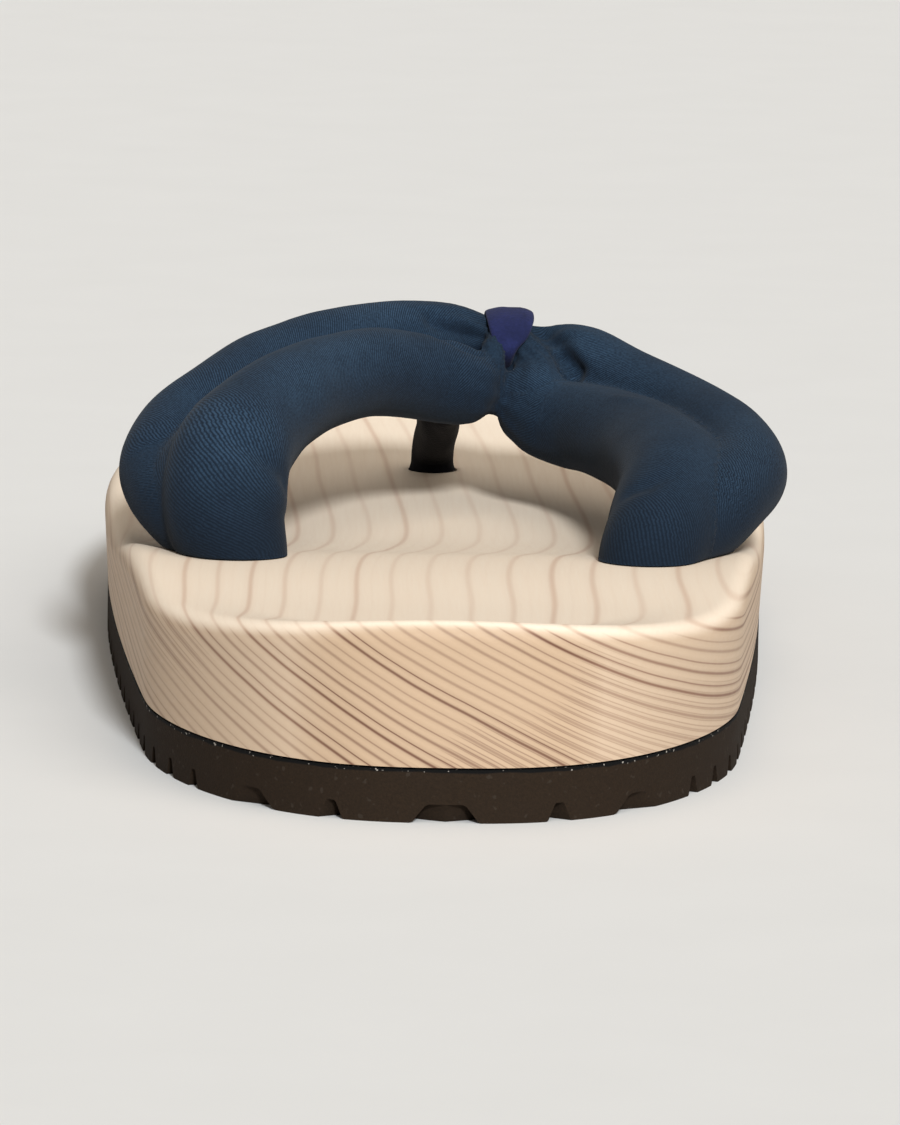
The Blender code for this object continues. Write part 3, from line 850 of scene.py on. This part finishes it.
def stem_rings():
    """Rings of the thong's stem, from the band's front side down through the front hole."""
    mouth = float(footbed(0.0, FRONT_HOLE.y))
    ceiling = float(underside(0.0, FRONT_HOLE.y)) + RECESS_DEPTH
    spread = STEM_SPREAD * STEM_RADIUS
    start = Vector(strap_place(*STEM_START))
    foot = FRONT_HOLE + Vector((0, 0, mouth + STEM_BEND))
    knee = start.lerp(foot, STEM_KNEE_AT)
    knee.x = STEM_KNEE_OUT
    path = [
        start,
        start.lerp(knee, 0.5),
        knee,
        knee.lerp(foot, 0.5),
        knee.lerp(foot, 0.88),
        FRONT_HOLE + Vector((0, 0, mouth + STEM_BEND / 4)),
        FRONT_HOLE + Vector((0, 0, ceiling)),
        FRONT_HOLE + Vector((0, 0, ceiling - KNOT_GAP - KNOT_HEIGHT)),
    ]
    rows = [(i, *p) for i, p in enumerate(path)]
    at = np.linspace(0, len(path) - 1, STEM_STATIONS)
    centres = np.column_stack([smooth(rows, at, c) for c in (1, 2, 3)])
    rings = []
    for i, centre in enumerate(centres):
        before, after = centres[max(i - 1, 0)], centres[min(i + 1, len(centres) - 1)]
        heading = Vector(after - before).normalized()
        side = heading.cross(Vector((0, 1, 0))).normalized()
        front = heading.cross(side).normalized()
        from_mouth = centre[2] - mouth + STEM_SPREAD_BELOW
        wider = spread * math.exp(-((from_mouth / STEM_SPREAD_REACH) ** 2))
        radius = STEM_FILL * STEM_RADIUS + wider
        ring = []
        for k in range(STEM_POINTS):
            turn = 2 * math.pi * k / STEM_POINTS
            fold = 1 + STEM_FOLD_DEPTH * math.cos(STEM_FOLDS * turn + STEM_TWIST * i)
            way = side * math.cos(turn) + front * math.sin(turn)
            ring.append(Vector(centre) + radius * fold * way)
        rings.append(ring)
    return rings


def make_toe_thong(look):
    """The cloth thong: a band round the strap's pinch and a stem down to the front hole."""
    points, faces = skin(band_rings(), closed_path=True)
    thong = mesh_object("thong_cloth", points, faces, look)
    stem = mesh_object("stem", *skin(stem_rings()))
    return cut(thong, "UNION", [stem])


def make_knot(name, centre, cord_radius, look):
    """A knot of two laid turns round the end of a cord."""
    top = float(underside(0, centre.y)) + RECESS_DEPTH - KNOT_GAP
    turn_radius = KNOT_HEIGHT / 4
    thick = (KNOT_RADIUS - cord_radius) / 2
    rings = []
    for i in range(KNOT_STATIONS + 1):
        turn = 2 * math.pi * KNOT_TURNS * i / KNOT_STATIONS
        fall = turn_radius * (1 + 2 * i / KNOT_STATIONS)
        from_end = min(i, KNOT_STATIONS - i) / KNOT_TAPER
        size = min(1.0, KNOT_END + (1 - KNOT_END) * from_end)
        radial = Vector((math.cos(turn), math.sin(turn), 0))
        middle = Vector((centre.x, centre.y, top - fall)) + radial * (cord_radius + thick)
        ring = []
        for k in range(KNOT_SIDES):
            angle = 2 * math.pi * k / KNOT_SIDES
            share = size * (1 + CORD_LAY * math.cos(3 * angle + 9 * turn))
            out = radial * (thick * share * math.cos(angle))
            rise = turn_radius * share * math.sin(angle) * 0.98
            ring.append(middle + out + Vector((0, 0, rise)))
        rings.append(ring)
    return mesh_object(name, *skin(rings), look)


class Nodes:
    """A material's node tree, with short calls that add and join nodes."""

    def __init__(self, name):
        self.look = bpy.data.materials.new(name)
        self.look.use_nodes = True
        self.tree = self.look.node_tree
        self.shader = self.tree.nodes["Principled BSDF"]

    def add(self, kind, **settings):
        node = self.tree.nodes.new(kind)
        for key, value in settings.items():
            setattr(node, key, value)
        return node

    def join(self, source, target):
        self.tree.links.new(source, target)

    def fill(self, socket, value):
        if isinstance(value, bpy.types.NodeSocket):
            self.join(value, socket)
        else:
            socket.default_value = value

    def maths(self, operation, *values):
        node = self.add("ShaderNodeMath", operation=operation)
        for socket, value in zip(node.inputs, values):
            self.fill(socket, value)
        return node.outputs[0]

    def place(self, scale=(1, 1, 1), attribute=None):
        """Coordinates in metres times scale, of the object or of a stored attribute."""
        if attribute:
            source = self.add("ShaderNodeAttribute", attribute_name=attribute).outputs["Vector"]
        else:
            source = self.add("ShaderNodeTexCoord").outputs["Object"]
        node = self.add("ShaderNodeVectorMath", operation="MULTIPLY")
        self.join(source, node.inputs[0])
        node.inputs[1].default_value = scale
        return node.outputs[0]

    def split(self, vector):
        node = self.add("ShaderNodeSeparateXYZ")
        self.join(vector, node.inputs[0])
        return node.outputs

    def noise(self, vector, scale=1.0, detail=3.0, rough=0.5):
        node = self.add("ShaderNodeTexNoise")
        self.join(vector, node.inputs["Vector"])
        node.inputs["Scale"].default_value = scale
        node.inputs["Detail"].default_value = detail
        node.inputs["Roughness"].default_value = rough
        return node.outputs["Fac"]

    def range(self, value, low, high, to_low=0.0, to_high=1.0, kind="SMOOTHSTEP"):
        node = self.add("ShaderNodeMapRange", interpolation_type=kind)
        for socket, item in zip(node.inputs[:5], (value, low, high, to_low, to_high)):
            self.fill(socket, item)
        return node.outputs[0]

    def mix(self, share, first, second):
        node = self.add("ShaderNodeMix", data_type="RGBA")
        for socket, item in ((node.inputs[0], share), (node.inputs[6], first), (node.inputs[7], second)):
            self.fill(socket, (*item, 1) if isinstance(item, tuple) else item)
        return node.outputs[2]

    def bump(self, height, depth, strength):
        node = self.add("ShaderNodeBump")
        node.inputs["Strength"].default_value = strength
        node.inputs["Distance"].default_value = depth
        self.join(height, node.inputs["Height"])
        return node.outputs[0]

    def finish(self, colour, roughness, uniform, normal=None):
        """The finished material; uniform holds values by the names of the shader's sockets."""
        self.fill(self.shader.inputs["Base Color"], colour)
        self.fill(self.shader.inputs["Roughness"], roughness)
        if normal:
            self.join(normal, self.shader.inputs["Normal"])
        for name, value in uniform.items():
            self.shader.inputs[name].default_value = value
        return self.look


def wood_look():
    """Pale conifer wood: growth rings round a far pith line that runs along the shoe."""
    n = Nodes("pale_wood")
    x, _, z = n.split(n.place((1000, 1000, 1000)))
    from_x = n.maths("SUBTRACT", x, PITH_X)
    from_z = n.maths("SUBTRACT", z, PITH_Z)
    squares = n.maths("ADD", n.maths("MULTIPLY", from_x, from_x), n.maths("MULTIPLY", from_z, from_z))
    radius = n.maths("SQRT", squares)
    slow = n.noise(n.place((22, 4, 22)), detail=1.0)
    quick = n.noise(n.place((110, 18, 110)), detail=1.0)
    bent = n.maths("ADD", radius, n.maths("MULTIPLY", n.maths("SUBTRACT", slow, 0.5), RING_WANDER))
    bent = n.maths("ADD", bent, n.maths("MULTIPLY", n.maths("SUBTRACT", quick, 0.5), RING_TREMBLE))
    rings = n.maths("DIVIDE", bent, RING_PITCH)
    facing = n.split(n.add("ShaderNodeNewGeometry").outputs["Normal"])
    # Painted shade: every steep face takes the darker end-grain colour, so the side walls and the rounded
    # top edge are darkened as shade; only the heel and toe faces are real end grain
    wall_shade = n.range(n.maths("ABSOLUTE", facing[2]), 0.85, 0.25, 0.0, 0.80)
    end_grain_and_wall_shade = n.maths("MAXIMUM", wall_shade, n.range(n.maths("ABSOLUTE", facing[1]), 0.40, 0.95))
    late = ring_lines(n, rings, 0.0, 0.145)
    between = ring_lines(n, rings, 0.44, 0.08)
    between = n.maths("MULTIPLY", between, n.range(end_grain_and_wall_shade, 0.0, 1.0, 0.10, 0.95))
    fine = n.maths("ABSOLUTE", n.maths("SUBTRACT", n.maths("FRACT", n.maths("MULTIPLY", rings, 4.0)), 0.5))
    fine = n.range(fine, 0.0, 0.22, 1.0, 0.0)
    groups = n.range(n.noise(n.place((38, 4, 38)), detail=1.0), 0.46, 0.62, 0.0, 0.55)
    groups = n.maths("MULTIPLY", groups, end_grain_and_wall_shade)
    late = n.maths("MAXIMUM", n.maths("MAXIMUM", late, between), n.maths("MULTIPLY", fine, groups))
    fibres = n.noise(n.place((1500, 55, 1500)), detail=3.0)
    blotch = n.noise(n.place((30, 10, 30)), detail=2.0)
    pale = n.mix(blotch, WOOD_PALE, WOOD_BRIGHT)
    pale = n.mix(n.maths("MULTIPLY", fibres, 0.22), pale, WOOD_FIBRE)
    pale = n.mix(n.maths("MULTIPLY", end_grain_and_wall_shade, 0.88), pale, WOOD_END_AND_WALL_SHADE)
    line = n.mix(end_grain_and_wall_shade, LINE_ON_TOP, LINE_ON_WALL)
    late_share = n.maths("MULTIPLY", late, n.range(end_grain_and_wall_shade, 0.0, 1.0, 0.48, 1.0))
    colour = n.mix(late_share, pale, line)
    rough = n.range(fibres, 0.2, 0.8, 0.52, 0.68, kind="LINEAR")
    height = n.maths("ADD", n.maths("MULTIPLY", fibres, 0.6), n.maths("MULTIPLY", late, 0.03))
    normal = n.bump(height, 0.00008, 0.40)
    return n.finish(colour, rough, {"Specular IOR Level": 0.30}, normal)


def ring_lines(n, rings, shift, thick):
    """Late wood: a thin line in each ring, with a faint halo and a strength of its own."""
    place = n.maths("ADD", rings, shift)
    white = n.add("ShaderNodeTexWhiteNoise", noise_dimensions="1D")
    n.join(n.maths("FLOOR", place), white.inputs["W"])
    off = n.maths("ABSOLUTE", n.maths("SUBTRACT", n.maths("FRACT", place), 0.5))
    core = n.range(off, 0.0, thick, 1.0, 0.0)
    halo = n.range(off, 0.0, 0.30, 0.22, 0.0)
    strength = n.range(white.outputs["Value"], 0.0, 1.0, 0.40, 1.0, kind="LINEAR")
    return n.maths("MULTIPLY", n.maths("MAXIMUM", core, halo), strength)


def rubber_look():
    """Dark brown foam rubber with a fine open grain, and a painted black shadow line, flecked with painted
    glints, along its top edge under the wood.
    """
    n = Nodes("brown_rubber")
    _, y, z = n.split(n.place())
    grain = n.noise(n.place(), scale=2600.0, detail=3.0, rough=0.7)
    patches = n.noise(n.place(), scale=260.0, detail=2.0)
    dust = n.range(n.noise(n.place(), scale=900.0, detail=1.0), 0.66, 0.74, 0.0, 0.5)
    brown = n.mix(grain, RUBBER_DARK, RUBBER_BROWN)
    brown = n.mix(n.maths("MULTIPLY", patches, 0.5), brown, RUBBER_PATCH)
    brown = n.mix(n.maths("MULTIPLY", dust, 0.20), brown, RUBBER_DUST)
    past = n.maths("MAXIMUM", n.maths("SUBTRACT", y, LENGTH / 2 - TOE_SPRING_LENGTH), 0.0)
    past = n.maths("DIVIDE", past, TOE_SPRING_LENGTH)
    lift = n.maths("MULTIPLY", n.maths("MULTIPLY", past, past), TOE_SPRING)
    # Painted shadow: a black band just under the rubber's top edge where the gap below the wood falls
    # dark, with light specks as painted glints
    below_joint = n.maths("SUBTRACT", SOLE_THICKNESS, n.maths("SUBTRACT", z, lift))
    uneven = n.maths("MULTIPLY", n.noise(n.place(), scale=220.0, detail=2.0), GAP_SHADOW_WANDER)
    gap_shadow_mask = n.range(n.maths("ADD", below_joint, uneven), *GAP_SHADOW_BAND)
    gap_glints = n.range(n.noise(n.place(), scale=1500.0, detail=1.0), 0.68, 0.72)
    gap_shadow_look = n.mix(gap_glints, GAP_SHADOW_COLOUR, GAP_GLINT_COLOUR)
    colour = n.mix(gap_shadow_mask, brown, gap_shadow_look)
    normal = n.bump(grain, 0.00022, 0.7)
    return n.finish(colour, 0.88, {"Specular IOR Level": 0.12}, normal)


def twill_look():
    """Indigo twill: fine slanting ribs in the cloth's own coordinates, lighter on upward faces as painted
    top light mixed with random wear.
    """
    n = Nodes("indigo_twill")
    s, t, _ = n.split(n.place((1000, 1000, 1), attribute="cloth_place"))
    wander = n.maths("MULTIPLY", n.noise(n.place(), scale=120.0, detail=1.0), 0.5)
    slant = n.maths("ADD", n.maths("ADD", s, n.maths("MULTIPLY", t, TWILL_SLANT)), wander)
    rib = n.maths("SINE", n.maths("MULTIPLY", slant, 2 * math.pi / TWILL_PITCH))
    weave = n.range(rib, -1.0, 1.0, 0.15, 1.0, kind="LINEAR")
    salt = n.noise(n.place(), scale=2600.0, detail=2.0, rough=0.6)
    slub = n.noise(n.place((260, 260, 260)), detail=2.0)
    fade = n.noise(n.place(), scale=38.0, detail=2.0)
    facing = n.split(n.add("ShaderNodeNewGeometry").outputs["Normal"])[2]
    # Painted light: faces that point up take the lighter worn colour in place of light from above; the
    # noise and threads keep part of it as wear
    top = n.range(facing, -0.3, 1.0, 0.15, 1.0)
    fleck = n.maths("MULTIPLY", n.range(salt, 0.30, 0.72, 0.40, 1.0), n.range(slub, 0.25, 0.75, 0.8, 1.0))
    threads = n.maths("MULTIPLY", weave, fleck)
    base = n.mix(threads, INDIGO_DARK, INDIGO_LIGHT)
    wear_and_top_light = n.maths("MULTIPLY", top, n.range(fade, 0.30, 0.72, 0.35, 0.85))
    wear_and_top_light = n.maths("MULTIPLY", wear_and_top_light, n.range(threads, 0.05, 0.75, 0.10, 1.0))
    colour = n.mix(wear_and_top_light, base, INDIGO_WORN_AND_LIT)
    # Painted shade: the cloth darkens towards the feet near the wood and round the middle of the pinch,
    # where shade falls
    low = n.range(n.split(n.place())[2], *FOOT_SHADE, 0.75, 0.0)
    from_pinch = n.add("ShaderNodeVectorMath", operation="DISTANCE")
    n.join(n.place(), from_pinch.inputs[0])
    from_pinch.inputs[1].default_value = tuple(strap_place(*PINCH_AT))
    gathered = n.range(from_pinch.outputs["Value"], *PINCH_SHADE, 0.55, 0.0)
    colour = n.mix(n.maths("MAXIMUM", low, gathered), colour, INDIGO_DARK)
    height = n.maths("ADD", n.maths("MULTIPLY", weave, 0.7), n.maths("MULTIPLY", salt, 0.6))
    normal = n.bump(height, 0.00007, 0.6)
    uniform = {"Specular IOR Level": 0.10, "Sheen Weight": 0.03, "Sheen Roughness": 0.5}
    return n.finish(colour, 0.95, uniform, normal)


def plain_cloth_look(name, dark, light, stem=None):
    """Soft, close cloth, with painted shade on the stem below the strap when a shade colour is given."""
    n = Nodes(name)
    grain = n.noise(n.place(), scale=1800.0, detail=3.0, rough=0.7)
    fade = n.noise(n.place(), scale=200.0, detail=2.0)
    colour = n.mix(n.maths("MULTIPLY", grain, n.range(fade, 0.3, 0.7, 0.4, 1.0)), dark, light)
    if stem:
        # Painted shade: the stem below the strap, where the strap shades it, turns nearly black
        height = n.split(n.place())[2]
        colour = n.mix(n.range(height, *STEM_SHADE), stem, colour)
    normal = n.bump(grain, 0.00015, 0.8)
    return n.finish(colour, 0.95, {"Specular IOR Level": 0.10, "Sheen Weight": 0.05}, normal)


def floor_look():
    """A matt, nearly white floor."""
    n = Nodes("pale_floor")
    speckle = n.noise(n.place(), scale=40.0, detail=4.0)
    colour = n.mix(speckle, FLOOR_DARK, FLOOR_LIGHT)
    return n.finish(colour, 0.8, {"Specular IOR Level": 0.2})


def make_camera():
    """A camera at the photograph's place, turned to the shoe and with a longer lens."""
    side = Vector((math.cos(CAMERA_YAW), math.sin(CAMERA_YAW), 0))
    ahead = Vector(
        (
            -math.sin(CAMERA_YAW) * math.cos(CAMERA_PITCH),
            math.cos(CAMERA_YAW) * math.cos(CAMERA_PITCH),
            -math.sin(CAMERA_PITCH),
        )
    )
    over = side.cross(ahead)
    right = side * math.cos(CAMERA_ROLL) - over * math.sin(CAMERA_ROLL)
    up = over * math.cos(CAMERA_ROLL) + side * math.sin(CAMERA_ROLL)
    across = (SHOE_MIDDLE[0] - PHOTO_MIDDLE[0]) / PHOTO_FOCAL
    down = (SHOE_MIDDLE[1] - PHOTO_MIDDLE[1]) / PHOTO_FOCAL
    aim = (ahead + right * across - up * down).normalized()
    right = aim.cross(up).normalized()
    up = right.cross(aim)
    data = bpy.data.cameras.new("camera")
    data.sensor_width = SENSOR
    data.lens = PHOTO_FOCAL * CLOSER / FRAME_HEIGHT * SENSOR
    data.clip_start, data.clip_end = CLIP
    camera = bpy.data.objects.new("camera", data)
    turned_to = Matrix((right, up, -aim)).transposed().to_4x4()
    camera.matrix_world = Matrix.Translation(CAMERA_AT) @ turned_to
    bpy.context.scene.collection.objects.link(camera)
    bpy.context.scene.camera = camera


def make_light(name, source, strength, width, colour):
    """A sun that shines from the given direction, with soft shadows."""
    data = bpy.data.lights.new(name, "SUN")
    data.energy = strength
    data.angle = math.radians(width)
    data.color = colour
    light = bpy.data.objects.new(name, data)
    light.rotation_mode = "QUATERNION"
    light.rotation_quaternion = Vector(source).to_track_quat("Z", "Y")
    bpy.context.scene.collection.objects.link(light)


def make_stage():
    """A pale floor, two lights from behind the heel and an even studio light."""
    reach = FLOOR_REACH
    corners = [(-reach, -reach, 0), (reach, -reach, 0), (reach, reach, 0), (-reach, reach, 0)]
    floor = mesh_object("floor", corners, [(0, 1, 2, 3)], floor_look())
    for light in LIGHTS:
        make_light(*light)
    world = bpy.data.worlds.new("studio")
    world.use_nodes = True
    background = world.node_tree.nodes["Background"]
    background.inputs["Color"].default_value = (*WARM_LIGHT, 1)
    background.inputs["Strength"].default_value = STUDIO_STRENGTH
    bpy.context.scene.world = world
    bpy.context.scene.view_settings.view_transform = "Standard"


def dress(piece, node):
    """Puts a piece in the place of its node, on the part's one body."""
    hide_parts(node)
    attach(piece, "root")
    return piece


make_camera()
make_stage()
dress(make_base(wood_look()), "base")
dress(make_outsole(rubber_look()), "outsole")
strap = dress(make_strap(twill_look()), "strap")
violet = plain_cloth_look("violet_navy_cloth", VIOLET_DARK, VIOLET_LIGHT, STEM_PAINTED_SHADE)
dress(make_toe_thong(violet), "toe_thong")
dark = plain_cloth_look("dark_cord", CORD_DARK, CORD_LIGHT)
for side, at in REAR_HOLES.items():
    dress(make_knot(f"knot_{side}_cord", at, CORD_RADIUS, dark), f"knot_{side}")
dress(make_knot("knot_front_cord", FRONT_HOLE, STEM_RADIUS, dark), "knot_front")
